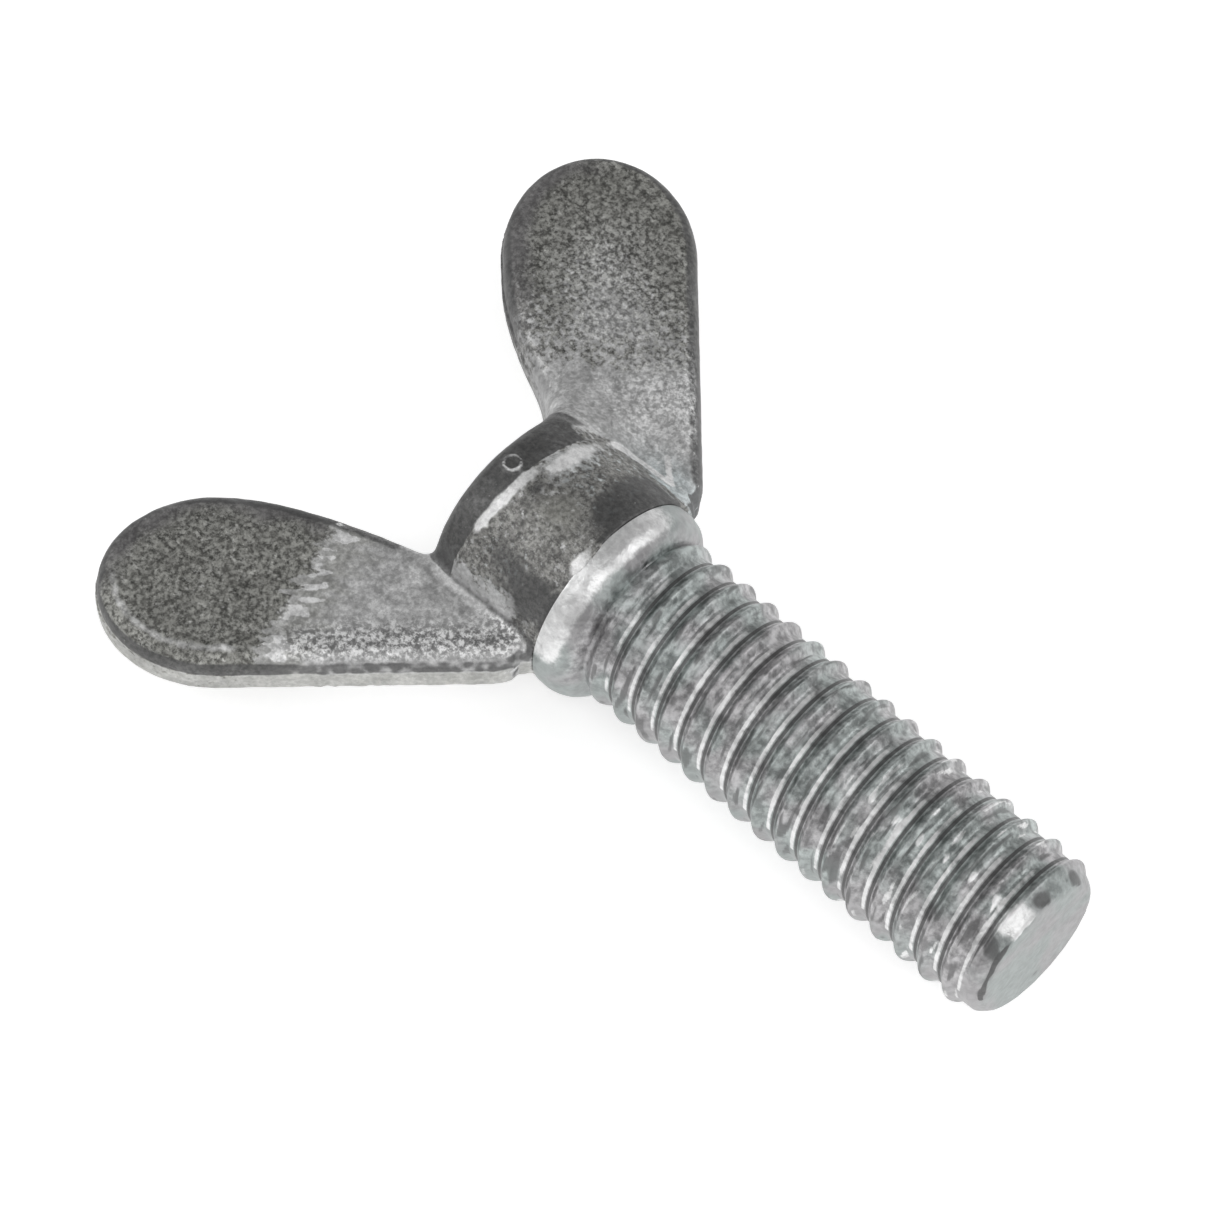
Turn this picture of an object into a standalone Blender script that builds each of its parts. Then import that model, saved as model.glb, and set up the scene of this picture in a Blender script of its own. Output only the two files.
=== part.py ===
"""Wing screw: a cast head with two finger wings in a V, cast around a threaded steel stud.

Units are metres and +Z is up. The screw lies flat: the stud points along +X, the wings spread
along Y in the plane of the stud's axis, and the origin is at the middle of the footprint, at the
height of the hub's lowest point. Sizes below are given in the screw's own frame, where the
stud's axis is the X axis and x = 0 is the collar's front, where the thread begins.
"""

import math

import bmesh
import bpy
from mathutils import Vector

# Thread: 3/8-16 UNC, right-hand, rolled.
THREAD_RADIUS = 0.00471
THREAD_PITCH = 0.0254 / 16
THREAD_DEPTH = 0.55 * THREAD_PITCH
CREST_SHARE = 0.28  # of the pitch that the flat of the crest takes
ROOT_SHARE = 0.12  # of the pitch that the flat of the root takes
CREST_PHASE = 0.188 * THREAD_PITCH  # from the collar's front to the first crest, on the +Y side
RUN_OUT = 1.2 * THREAD_PITCH  # length over which the groove fades out towards the collar

# Stud.
STUD_LENGTH = 0.02685  # from the collar's front to the flat end
END_FACE_RADIUS = 0.0038
END_CHAMFER = 0.0016  # its length along the axis
NECK_RADIUS = 0.00445  # where the thread meets the collar's front
COLLAR_RADIUS = 0.00555
COLLAR_WIDTH = 0.0019
COLLAR_EASE = 0.0003  # chamfer of the collar's back edge
COLLAR_BEAD = 0.0009  # rounding of the collar's front, which bears on the work

# Anchor: the shank inside the head, with a ring groove against pull and two flats against turn.
ANCHOR_RADIUS = 0.0033
ANCHOR_LENGTH = 0.0060  # behind the collar
ANCHOR_FLAT = 0.0026  # half the distance across the two flats
GROOVE_RADIUS = 0.0024
GROOVE_WIDTH = 0.0014

# Head.
CLEARANCE = 0.0003  # between the casting and the stud
HUB_MOUTH_RADIUS = 0.0057
HUB_RIDGE_RADIUS = 0.0058  # a faint ridge where the drum's side meets its back draft
HUB_RIDGE_X = -0.0077
HUB_RIM_RADIUS = 0.0057
HUB_RIM_X = -0.0092
HUB_BACK_RADIUS = 0.0052
HUB_BACK_X = -0.0095
HUB_CROWN = 0.0002  # how far the middle of the back stands proud

# Wings: an oval paddle that narrows to a root on the hub.
WING_THICKNESS = 0.0028
WING_ANGLE = math.radians(38.9)  # of the paddle's long axis from the stud's axis, backwards
PADDLE_CENTRE = Vector((-0.01638, 0.01376))
PADDLE_LENGTH = 0.00606  # half the oval's long axis
PADDLE_WIDTH = 0.00506  # half its short axis
OUTER_ROOT = Vector((-0.0022, 0.0067))  # front corner, level with the hub's mouth
INNER_ROOT = Vector((-0.00955, 0.0052))  # where the inner edge runs into the hub
INNER_BEND = Vector((-0.0164, 0.00785))  # control point of the inner edge's hollow curve
OVAL_START = math.radians(97)  # the oval's stretch of the outline, from its outer side
OVAL_END = math.radians(-90)  # round its far end to its inner side
ROOT_REACH = 0.0046  # how far from the axis the wing's root starts, inside the hub's wall
WING_RIM = 0.0008  # rounding of the wing's edge

ROUND_STEPS = 32  # sides of a round shape
ROWS_PER_PITCH = 6
RIM_STEPS = 2
OVAL_STEPS = 16
EDGE_STEPS = 6  # of the wing's hollow inner edge
BEAD_STEPS = 3
SMOOTH_BELOW = math.radians(35)  # faces that meet at a smaller angle are shaded smooth

PADDLE_REACH = math.hypot(PADDLE_LENGTH * math.cos(WING_ANGLE), PADDLE_WIDTH * math.sin(WING_ANGLE))
BACK_X = PADDLE_CENTRE.x - PADDLE_REACH  # rearmost point of the wings
ORIGIN = Vector(((BACK_X + STUD_LENGTH) / 2, 0.0, -HUB_RIDGE_RADIUS))


def clear_scene():
    for item in list(bpy.data.objects):
        bpy.data.objects.remove(item, do_unlink=True)


def material(name, color, roughness, metallic):
    made = bpy.data.materials.new(name)
    made.use_nodes = True
    shader = made.node_tree.nodes["Principled BSDF"]
    shader.inputs["Base Color"].default_value = (*color, 1.0)
    shader.inputs["Roughness"].default_value = roughness
    shader.inputs["Metallic"].default_value = metallic
    return made


def add_object(name, mesh, skin):
    made = bpy.data.objects.new(name, mesh)
    made.location = -ORIGIN
    mesh.materials.append(skin)
    bpy.context.scene.collection.objects.link(made)
    return made


def angles():
    return [2 * math.pi * step / ROUND_STEPS for step in range(ROUND_STEPS)]


def ring(x, radius, flat=None):
    """Points around the X axis, cut off above and below at the height flat where one is given."""
    points = []
    for angle in angles():
        reach = radius
        if flat and abs(math.sin(angle)) * radius > flat:
            reach = flat / abs(math.sin(angle))
        points.append(Vector((x, reach * math.cos(angle), reach * math.sin(angle))))
    return points


def thread_groove(phase):
    """Depth of the groove, from 0 on the crest to 1 at the root, for a phase counted from a crest."""
    away = abs((phase + 0.5) % 1.0 - 0.5)
    flank = 0.5 - CREST_SHARE / 2 - ROOT_SHARE / 2
    return min(max((away - CREST_SHARE / 2) / flank, 0.0), 1.0)


def thread_radius(x, angle):
    phase = (x - CREST_PHASE) / THREAD_PITCH - angle / (2 * math.pi)
    fade = min(max(x / RUN_OUT, 0.0), 1.0)
    radius = THREAD_RADIUS - THREAD_DEPTH * fade * thread_groove(phase)
    neck = NECK_RADIUS + x  # the first thread rises out of the neck at 45 degrees
    chamfer = END_FACE_RADIUS + (STUD_LENGTH - x) * (THREAD_RADIUS - END_FACE_RADIUS) / END_CHAMFER
    return min(radius, neck, chamfer)


def thread_rows():
    """Rows that follow the helix, held between the collar's front and the flat end."""
    rows = []
    count = math.ceil(STUD_LENGTH / THREAD_PITCH * ROWS_PER_PITCH) + ROWS_PER_PITCH
    for row in range(count + 1):
        start = (row / ROWS_PER_PITCH - 1) * THREAD_PITCH
        points = []
        for angle in angles():
            x = start + THREAD_PITCH * angle / (2 * math.pi)
            x = min(max(x, 0.0), STUD_LENGTH)
            radius = thread_radius(x, angle)
            points.append(Vector((x, radius * math.cos(angle), radius * math.sin(angle))))
        rows.append(points)
    return rows


def add_band(shape, lower, upper):
    """Faces between two rows of vertices. The rows may be shifted copies of one list."""
    for step in range(len(lower)):
        after = (step + 1) % len(lower)
        shape.faces.new((lower[step], upper[step], upper[after], lower[after]))


def add_helix_band(shape, rows):
    """Faces of the helical rows: after one turn a row goes on as the row one pitch further."""
    last = len(rows) - 1
    for number in range(last):
        for step in range(ROUND_STEPS):
            after = (step + 1) % ROUND_STEPS
            turn = ROWS_PER_PITCH if after == 0 else 0
            near = rows[min(number + turn, last)][after]
            far = rows[min(number + 1 + turn, last)][after]
            corners = [rows[number][step], rows[number + 1][step], far, near]
            if len(set(corners)) == len(corners):
                shape.faces.new(corners)


def finish_mesh(shape, name):
    bmesh.ops.remove_doubles(shape, verts=shape.verts, dist=1e-6)
    bmesh.ops.dissolve_degenerate(shape, edges=shape.edges, dist=1e-6)
    bmesh.ops.triangulate(shape, faces=shape.faces)
    bmesh.ops.recalc_face_normals(shape, faces=shape.faces)
    mesh = bpy.data.meshes.new(name)
    shape.to_mesh(mesh)
    shape.free()
    mesh.shade_smooth()
    mesh.set_sharp_from_angle(angle=SMOOTH_BELOW)
    return mesh


def stud_body_rings():
    """From the anchor's end to the collar's front."""
    collar_back = -COLLAR_WIDTH
    anchor_end = collar_back - ANCHOR_LENGTH
    groove_front = collar_back - (ANCHOR_LENGTH - GROOVE_WIDTH) / 2
    groove_back = groove_front - GROOVE_WIDTH
    rings = [
        ring(anchor_end, ANCHOR_RADIUS, ANCHOR_FLAT),
        ring(groove_back, ANCHOR_RADIUS, ANCHOR_FLAT),
        ring(groove_back, GROOVE_RADIUS),
        ring(groove_front, GROOVE_RADIUS),
        ring(groove_front, ANCHOR_RADIUS, ANCHOR_FLAT),
        ring(collar_back, ANCHOR_RADIUS, ANCHOR_FLAT),
        ring(collar_back, COLLAR_RADIUS - COLLAR_EASE),
        ring(collar_back + COLLAR_EASE, COLLAR_RADIUS),
    ]
    for step in range(BEAD_STEPS + 1):
        bend = math.pi / 2 * step / BEAD_STEPS
        drop = COLLAR_BEAD * (1 - math.cos(bend))
        rings.append(ring(COLLAR_BEAD * (math.sin(bend) - 1), COLLAR_RADIUS - drop))
    rings.append(ring(0.0, NECK_RADIUS))
    return rings


def make_stud():
    shape = bmesh.new()
    body = [[shape.verts.new(point) for point in row] for row in stud_body_rings()]
    thread = [[shape.verts.new(point) for point in row] for row in thread_rows()]
    shape.faces.new(body[0])
    for lower, upper in zip(body, body[1:]):
        add_band(shape, lower, upper)
    add_helix_band(shape, thread)
    shape.faces.new(thread[-1])
    skin = material("plated_steel", (0.55, 0.56, 0.57), 0.38, 1.0)
    return add_object("threaded_stud", finish_mesh(shape, "threaded_stud"), skin)


def hub_rings():
    """From the middle of the back round the outside, over the mouth and down into the socket."""
    mouth_x = -COLLAR_WIDTH - CLEARANCE
    socket_end = -COLLAR_WIDTH - ANCHOR_LENGTH - CLEARANCE
    groove_front = -COLLAR_WIDTH - (ANCHOR_LENGTH - GROOVE_WIDTH) / 2
    rib_front = groove_front - CLEARANCE
    rib_back = groove_front - GROOVE_WIDTH + CLEARANCE
    bore = ANCHOR_RADIUS + CLEARANCE
    flat = ANCHOR_FLAT + CLEARANCE
    rib = GROOVE_RADIUS + CLEARANCE
    rings = [
        ring(HUB_BACK_X - HUB_CROWN, HUB_BACK_RADIUS / 2),
        ring(HUB_BACK_X, HUB_BACK_RADIUS),
        ring(HUB_RIM_X, HUB_RIM_RADIUS),
        ring(HUB_RIDGE_X, HUB_RIDGE_RADIUS),
        ring(mouth_x, HUB_MOUTH_RADIUS),
        ring(mouth_x, bore, flat),
        ring(rib_front, bore, flat),
        ring(rib_front, rib),
        ring(rib_back, rib),
        ring(rib_back, bore, flat),
        ring(socket_end, bore, flat),
    ]
    return rings


def arc_point(turn):
    """A point of the paddle's oval. Turn 0 is its far end and 90 degrees its outer side."""
    along = Vector((-math.cos(WING_ANGLE), math.sin(WING_ANGLE)))
    across = Vector((math.sin(WING_ANGLE), math.cos(WING_ANGLE)))
    reach = along * PADDLE_LENGTH * math.cos(turn)
    return PADDLE_CENTRE + reach + across * PADDLE_WIDTH * math.sin(turn)


def wing_outline():
    """The +Y wing's outline: outer root, the oval, then the hollow inner edge to the inner root."""
    points = [OUTER_ROOT]
    for step in range(OVAL_STEPS + 1):
        points.append(arc_point(OVAL_START + (OVAL_END - OVAL_START) * step / OVAL_STEPS))
    start = points[-1]
    for step in range(1, EDGE_STEPS + 1):
        t = step / EDGE_STEPS
        point = start * (1 - t) ** 2 + INNER_BEND * 2 * t * (1 - t) + INNER_ROOT * t**2
        points.append(point)
    points.append(Vector((HUB_RIM_X, ROOT_REACH)))
    points.append(Vector((OUTER_ROOT.x, ROOT_REACH)))
    return points


def make_wing(name, side, skin):
    """A plate of the wing's outline with a rounded rim. Side is 1 for +Y and -1 for -Y."""
    shape = bmesh.new()
    outline = [(point.x, side * point.y) for point in wing_outline()]
    floor = [shape.verts.new((x, y, -WING_THICKNESS / 2)) for x, y in outline]
    roof = [shape.verts.new((x, y, WING_THICKNESS / 2)) for x, y in outline]
    shape.faces.new(floor)
    shape.faces.new(roof)
    add_band(shape, floor, roof)
    bmesh.ops.recalc_face_normals(shape, faces=shape.faces)
    mesh = bpy.data.meshes.new(name)
    shape.to_mesh(mesh)
    shape.free()
    wing = add_object(name, mesh, skin)
    rim = wing.modifiers.new("rim", "BEVEL")
    rim.width = WING_RIM
    rim.segments = RIM_STEPS
    rim.limit_method = "ANGLE"
    rim.angle_limit = math.radians(60)
    wing.hide_render = True
    wing.display_type = "WIRE"
    return wing


def make_head():
    shape = bmesh.new()
    rings = [[shape.verts.new(point) for point in row] for row in hub_rings()]
    shape.faces.new(rings[0])
    for lower, upper in zip(rings, rings[1:]):
        add_band(shape, lower, upper)
    shape.faces.new(rings[-1])
    skin = material("cast_head", (0.24, 0.25, 0.24), 0.6, 0.8)
    head = add_object("wing_head", finish_mesh(shape, "wing_head"), skin)
    for name, side in (("wing_left", -1), ("wing_right", 1)):
        join = head.modifiers.new(name, "BOOLEAN")
        join.operation = "UNION"
        join.solver = "EXACT"
        join.object = make_wing(name, side, skin)
    return head


clear_scene()
make_stud()
make_head()
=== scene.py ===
"""Looks of the wing screw: a fine cast head and a fine rolled stud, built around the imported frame.

Shapes are worked out in millimetres in the screw's own frame: the stud's axis is the X axis,
x = 0 is the collar's front, the wings spread along Y and Z is across the wings' plane. to_row
moves them into the frame's coordinates, in metres. Places round the axis are in degrees from
+Y towards +Z. The left wing is the one on the -Y side, the right wing the one on the +Y side.
"""

import itertools
import math
from types import SimpleNamespace

import bmesh
import bpy
import numpy as np
from mathutils import Matrix, Vector, noise


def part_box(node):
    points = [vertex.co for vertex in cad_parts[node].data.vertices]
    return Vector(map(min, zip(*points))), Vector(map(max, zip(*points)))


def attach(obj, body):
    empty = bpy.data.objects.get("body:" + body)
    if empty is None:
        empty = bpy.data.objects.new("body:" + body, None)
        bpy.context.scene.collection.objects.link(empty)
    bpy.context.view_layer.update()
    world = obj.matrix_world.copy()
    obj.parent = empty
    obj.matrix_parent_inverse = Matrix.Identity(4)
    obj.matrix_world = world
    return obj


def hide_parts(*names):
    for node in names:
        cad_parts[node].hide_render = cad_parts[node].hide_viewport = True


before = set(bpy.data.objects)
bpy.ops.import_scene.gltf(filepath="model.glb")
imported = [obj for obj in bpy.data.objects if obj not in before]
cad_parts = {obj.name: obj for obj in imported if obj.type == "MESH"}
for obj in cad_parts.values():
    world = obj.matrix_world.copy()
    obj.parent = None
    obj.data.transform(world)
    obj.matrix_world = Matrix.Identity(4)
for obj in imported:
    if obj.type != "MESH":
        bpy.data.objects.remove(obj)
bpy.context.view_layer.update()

# ---------------------------------------------------------------- frame
MM = 0.001
HEAD_LOW, HEAD_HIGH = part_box("wing_head")
_, STUD_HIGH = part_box("threaded_stud")
STUD_LENGTH = 26.85  # from the collar's front to the flat end
ORIGIN = Vector((STUD_HIGH.x - STUD_LENGTH * MM, 0.0, (HEAD_LOW.z + HEAD_HIGH.z) / 2))
HALF_HEIGHT = (HEAD_HIGH.z - HEAD_LOW.z) / 2 / MM  # of the head, across the wings' plane
BOX_MARGIN = 0.002  # kept between the head's skin and the CAD head's box

# ---------------------------------------------------------------- stud
PITCH = 25.4 / 16
CREST_RADIUS = 4.71
THREAD_DEPTH = 0.55 * PITCH
CREST_SHARE = 0.17  # of the pitch, like the one below
ROOT_SHARE = 0.17
PROFILE_ROUNDING = 0.42  # of the groove's depth, where its flank meets the crest and the root
CREST_PHASE = 0.188 * PITCH
RUN_OUT = 0.8 * PITCH
NECK_RISE = 1.2  # how fast the neck widens under the thread's start
NECK_BLEND = 0.2
END_RADIUS = 3.86
END_CHAMFER = 1.08
END_ROLL = 0.16  # rounded rim of the flat end
END_BLEND = 0.3  # where the chamfer meets the thread
COLLAR_BACK = -1.9
COLLAR_RADIUS = 5.62
COLLAR_LEAN = 0.16  # the collar is fuller on the -Y side
COLLAR_CREST_X = -1.45
COLLAR_FRONT_X = 0.1
COLLAR_FRONT_LEAN = 0.25
COLLAR_BLEND = 0.25  # where the collar's front meets the neck
COLLAR_BACK_DROP = 0.02
NECK_RADIUS = 4.3
ANCHOR_RADIUS = 3.3
ANCHOR_LENGTH = 6.0
ANCHOR_FLAT = 2.6
GROOVE_RADIUS = 2.4
GROOVE_WIDTH = 1.4
CLEARANCE = 0.3  # between the anchor and its socket
SHARP_ANGLE = math.radians(50)
ROUND_STEPS = 144
ROWS_PER_PITCH = 20
END_RINGS = 16
WELD_REACH = 1e-6  # metres, like the one below
SPECK_EDGE = 1e-7

# ---------------------------------------------------------------- head
MOUTH_X = COLLAR_BACK - 0.05
MOUTH_RADIUS = 5.60
HEAD_RADIUS = 5.7  # to turn degrees round the hub into millimetres
RIDGE_X = -7.37
RIDGE_LEAN = 0.45  # the ridge stands further forward on the +Y side
RIDGE_RADIUS = 5.76
BAND_DROP = 0.10  # from the ridge's lip down to the band behind it
BAND_SLOPE = 0.10
BACK_X = -9.7
BACK_ROUNDING = 1.1
MOUTH_ROUNDING = 0.08
FLASH_REACH = 0.22  # how far a tongue of casting flash laps over the collar
FLASH_LIFT = 0.12
FLASH_ANGLE = 110
FLASH_WIDTH = 16  # degrees, at the mouth
TONGUE_WIDTH = 15  # degrees, on the hub's side
CORNER_ROUNDING = 1.1  # where the wings' outer edges meet the mouth
WING_HALF = 1.4
WING_ANGLE = math.radians(38.9)
PADDLE = (-16.38, 13.76)
PADDLE_LENGTH = 6.06
PADDLE_WIDTH = 5.06
OVAL_TURN = (97, -90)  # the oval's stretch of the outline, from its outer to its inner side
OVAL_STEPS = 56
BEND_STEPS = 15
OUTER_ROOT = (-2.15, 6.75)
INNER_ROOT = (-9.4, 5.1)
INNER_BEND = (-16.75, 7.35)
RIGHT_INNER_ROOT = (-9.65, 4.75)  # the +Y wing reaches further round the hub's back
RIGHT_INNER_BEND = (-16.9, 6.95)
ROOT_REACH = 4.4
LEFT_FILLET = 0.7
RIGHT_FILLET = 1.7
RIGHT_BACK_FILLET = 2.4  # more at the back of the hub
SHOULDER = 1.15  # rounding of the wing's upper rim
UNDER_SHOULDER = 0.6
UPPER_SHIFT = 0.02  # of the mould's upper half along +X and +Y
LOWER_SHIFT = -0.06  # of the mould's lower half, so that the two halves leave a ledge
SKIRT = 0.15  # how far the upper half reaches below the parting line
GRID = 0.135
GRID_ROOM = 0.4  # between the head and the grid's sides, like the two below
GRID_ROOM_BACK = 2.2
GRID_ROOM_FRONT = 0.5
LEAST_SLOPE = 0.3  # slopes below this count as this, where the distance has a kink
SOCKET_SKIN = 0.3  # the socket's wall and what lies this close to it keeps its smooth shape

PIN_PLACE = (-8.42, 94)  # along X and round the axis
PIN_RADIUS = 0.45
PIN_LINE = 0.13
PITS = ((-4.2, 103, 0.16), (-3.6, 106, 0.13), (-2.75, 108, 0.2), (-7.35, 118, 0.12))

# Marks on the hub's skin, and a painted highlight on the casting flash: place along X, place round the
# axis, and how far the mark reaches along X and round the axis.
PALE_TOP = (-6.6, 68, 1.2, 24)
LOW_STAIN = (-3.0, 144, 1.5, 13)
COOL_PATCH = (-5.4, 135, 1.3, 12)
DARK_STREAK = (-6.45, 95, 0.4, 11)
FLASH_HIGHLIGHT = (-2.05, 112, 0.45, 11)
OLIVE_PATCH = (-4.7, 98, 1.1, 10)

# The line below is a painted highlight along the crest where the right wing leaves the hub.
ROOT_HIGHLIGHT_LINE = ((-4.9, 7.0), (-3.6, 5.9))  # a bright line on the right wing's root, in the wings' plane
PADDLE_HEART = (0.3, 0.8)  # a pale spot by the left paddle's centre, along and across the wing


def to_row(points):
    """Millimetres in the screw's frame to metres in the row's frame."""
    return np.asarray(points) * MM + np.array(ORIGIN)


def smooth_max(a, b, reach):
    """The larger of a and b, rounded over where they differ by less than reach."""
    near = np.maximum(reach - np.abs(a - b), 0.0) / reach
    return np.maximum(a, b) + near * near * reach / 4


def smooth_min(a, b, reach):
    return -smooth_max(-a, -b, reach)


def ease(low, high, value):
    """0 below low, 1 above high and a smooth rise between."""
    share = np.clip((value - low) / (high - low), 0.0, 1.0)
    return share * share * (3 - 2 * share)


def bell(value, centre, width):
    return np.exp(-(((value - centre) / width) ** 2))


# ---------------------------------------------------------------- head shape
def wing_outline(inner_bend, inner_root):
    """Outline of the +Y wing: outer root, the paddle's oval, the hollow inner edge, inner root."""
    along = np.array((-math.cos(WING_ANGLE), math.sin(WING_ANGLE)))
    across = np.array((math.sin(WING_ANGLE), math.cos(WING_ANGLE)))
    points = [np.array(OUTER_ROOT)]
    for turn in np.radians(np.linspace(*OVAL_TURN, OVAL_STEPS)):
        reach = along * PADDLE_LENGTH * math.cos(turn)
        points.append(np.array(PADDLE) + reach + across * PADDLE_WIDTH * math.sin(turn))
    start, bend, end = points[-1], np.array(inner_bend), np.array(inner_root)
    for t in np.linspace(0, 1, BEND_STEPS)[1:]:
        points.append(start * (1 - t) ** 2 + bend * 2 * t * (1 - t) + end * t**2)
    points.append(np.array((inner_root[0], ROOT_REACH)))
    points.append(np.array((OUTER_ROOT[0], ROOT_REACH)))
    return np.array(points)


LEFT_OUTLINE = wing_outline(INNER_BEND, INNER_ROOT)
RIGHT_OUTLINE = wing_outline(RIGHT_INNER_BEND, RIGHT_INNER_ROOT)


def outline_distance(x, y):
    """Distance from the two wings' outlines in the wings' plane, negative inside them."""
    left = polygon_distance(x, -y, LEFT_OUTLINE)
    right = polygon_distance(x, y, RIGHT_OUTLINE)
    return np.where(y > 0, right, left)


def polygon_distance(x, y, outline):
    """Distance from a closed outline, negative inside it."""
    x, y = np.broadcast_arrays(x, y)
    nearest = np.full(x.shape, np.inf)
    inside = np.zeros(x.shape, bool)
    for (ax, ay), (bx, by) in zip(outline, np.roll(outline, -1, axis=0)):
        side_x, side_y = bx - ax, by - ay
        share = ((x - ax) * side_x + (y - ay) * side_y) / (side_x**2 + side_y**2)
        share = np.clip(share, 0.0, 1.0)
        gap = (x - ax - share * side_x) ** 2 + (y - ay - share * side_y) ** 2
        nearest = np.minimum(nearest, gap)
        if ay != by:
            crossing = ax + (y - ay) / (by - ay) * side_x
            inside ^= ((ay > y) != (by > y)) & (x < crossing)
    return np.sqrt(nearest) * np.where(inside, -1.0, 1.0)


def ridge_place(y, radius):
    """Where the ridge runs, along X."""
    return RIDGE_X + RIDGE_LEAN * y / np.maximum(radius, 1e-6)


def hub_side(x, radius, ridge):
    """Distance outwards from the hub's turned side: a faint taper, the ridge's lip, the band."""
    rise = (x - ridge) / (MOUTH_X - ridge)
    front = RIDGE_RADIUS + (MOUTH_RADIUS - RIDGE_RADIUS) * np.clip(rise, 0, 1)
    band = RIDGE_RADIUS - BAND_DROP - BAND_SLOPE * (ridge - x)
    return radius - band - (front - band) * ease(ridge - 0.2, ridge + 0.05, x)


def hub_distance(x, y, z):
    radius = np.hypot(y, z)
    angle = np.degrees(np.arctan2(z, y))
    tongue = FLASH_LIFT * bell(angle, FLASH_ANGLE, TONGUE_WIDTH) * ease(-3.2, -2.0, x)
    side = hub_side(x, radius, ridge_place(y, radius)) - tongue
    return smooth_max(side, BACK_X - x, BACK_ROUNDING)


def wing_distance(x, y, z):
    """Distance from the two wings, whose halves above and below the parting line are a little off."""
    upper = outline_distance(x - UPPER_SHIFT, y - UPPER_SHIFT)
    lower = outline_distance(x - LOWER_SHIFT, y - LOWER_SHIFT)
    above = np.maximum(smooth_max(upper, z - WING_HALF, SHOULDER), -SKIRT - z)
    below = np.maximum(smooth_max(lower, -WING_HALF - z, UNDER_SHOULDER), z)
    return np.minimum(above, below)


def socket_distance(x, y, z):
    """The blind hole round the stud's anchor: a bore with two flats and a rib in its groove."""
    radius = np.hypot(y, z)
    end = COLLAR_BACK - ANCHOR_LENGTH - CLEARANCE
    flats = np.abs(z) - ANCHOR_FLAT - CLEARANCE
    bore = np.maximum(np.maximum(radius - ANCHOR_RADIUS - CLEARANCE, flats), end - x)
    middle = COLLAR_BACK - ANCHOR_LENGTH / 2
    beside = np.abs(x - middle) - GROOVE_WIDTH / 2 + CLEARANCE
    rib = np.maximum(beside, GROOVE_RADIUS + CLEARANCE - radius)
    return np.maximum(bore, -rib)


def fillet_reach(x, y):
    """How wide the hub flows into the wing: wide at the back of the +Y wing, tight on the -Y side."""
    right = RIGHT_FILLET + RIGHT_BACK_FILLET * ease(-5.5, -8.5, x)
    return np.where(y > 0, right, LEFT_FILLET)


def head_distance(x, y, z):
    """Roughly the distance from the head's smooth surface, negative inside the casting."""
    hub = hub_distance(x, y, z)
    wing = wing_distance(x, y, z)
    joined = smooth_min(hub, wing, fillet_reach(x, y))
    angle = np.degrees(np.arctan2(z, y))
    mouth = MOUTH_X + FLASH_REACH * bell(angle, FLASH_ANGLE, FLASH_WIDTH)
    rounding = MOUTH_ROUNDING + CORNER_ROUNDING * ease(5.75, 6.3, np.abs(y))
    front = smooth_max(joined, x - mouth, rounding)
    return np.maximum(front, -socket_distance(x, y, z))


def surface_net(values, low, step):
    """Points and quads of the surface where values change sign, one point in each crossed cell."""
    inside = values < 0
    cells_shape = tuple(size - 1 for size in values.shape)
    count = np.zeros(cells_shape, np.int8)
    for i, j, k in itertools.product((0, 1), repeat=3):
        count += inside[i : i + cells_shape[0], j : j + cells_shape[1], k : k + cells_shape[2]]
    crossed = (count > 0) & (count < 8)
    cells = np.argwhere(crossed)
    number = np.full(cells_shape, -1)
    number[crossed] = np.arange(len(cells))
    total, hits = np.zeros(cells.shape), np.zeros(len(cells))
    for axis in range(3):
        side_a, side_b = [other for other in range(3) if other != axis]
        for shift_a, shift_b in itertools.product((0, 1), repeat=2):
            start = cells.copy()
            start[:, side_a] += shift_a
            start[:, side_b] += shift_b
            end = start.copy()
            end[:, axis] += 1
            at_start, at_end = values[tuple(start.T)], values[tuple(end.T)]
            cut = (at_start < 0) != (at_end < 0)
            share = np.where(cut, at_start / np.where(cut, at_start - at_end, 1.0), 0.0)
            point = start.astype(float)
            point[:, axis] += share
            total += point * cut[:, None]
            hits += cut
    points = low + step * total / hits[:, None]
    return points, np.concatenate([net_faces(inside, number, axis) for axis in range(3)])


def net_faces(inside, number, axis):
    """One quad round each crossed grid edge along axis, wound to face out."""
    side_a, side_b = (axis + 1) % 3, (axis + 2) % 3
    ahead = np.roll(inside, -1, axis=axis)
    crossed = inside != ahead
    edge = [slice(1, -1)] * 3
    edge[axis] = slice(0, -1)
    places = np.argwhere(crossed[tuple(edge)])
    for side in (side_a, side_b):
        places[:, side] += 1
    corners = []
    for back_a, back_b in ((1, 1), (0, 1), (0, 0), (1, 0)):
        cell = places.copy()
        cell[:, side_a] -= back_a
        cell[:, side_b] -= back_b
        corners.append(number[tuple(cell.T)])
    quads = np.stack(corners, axis=1)
    leaves = inside[tuple(places.T)]
    quads[~leaves] = quads[~leaves][:, ::-1]
    return quads


def gradient(distance, points, step=0.02):
    """How steeply the distance rises along X, Y and Z at each point."""
    slopes = []
    for axis in range(3):
        shift = np.zeros(3)
        shift[axis] = step
        ahead = distance(*(points + shift).T)
        behind = distance(*(points - shift).T)
        slopes.append((ahead - behind) / (2 * step))
    return np.stack(slopes, axis=1)


def make_mesh(name, points, faces):
    mesh = bpy.data.meshes.new(name)
    mesh.from_pydata(to_row(points).tolist(), [], faces.tolist())
    mesh.validate()
    mesh.shade_smooth()
    return mesh


def add_piece(name, mesh, skin, node):
    """Puts a mesh in the scene as the piece that stands for a CAD node."""
    piece = bpy.data.objects.new(name, mesh)
    bpy.context.scene.collection.objects.link(piece)
    mesh.materials.append(skin)
    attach(piece, "root")
    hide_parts(node)


def add_masks(mesh, masks):
    """Keeps each mask on the mesh's points, held between 0 and 1, for the materials to read."""
    for name, values in masks.items():
        held = np.clip(values, 0, 1).astype(np.float32)
        mesh.attributes.new(name, "FLOAT", "POINT").data.foreach_set("value", held)


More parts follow.
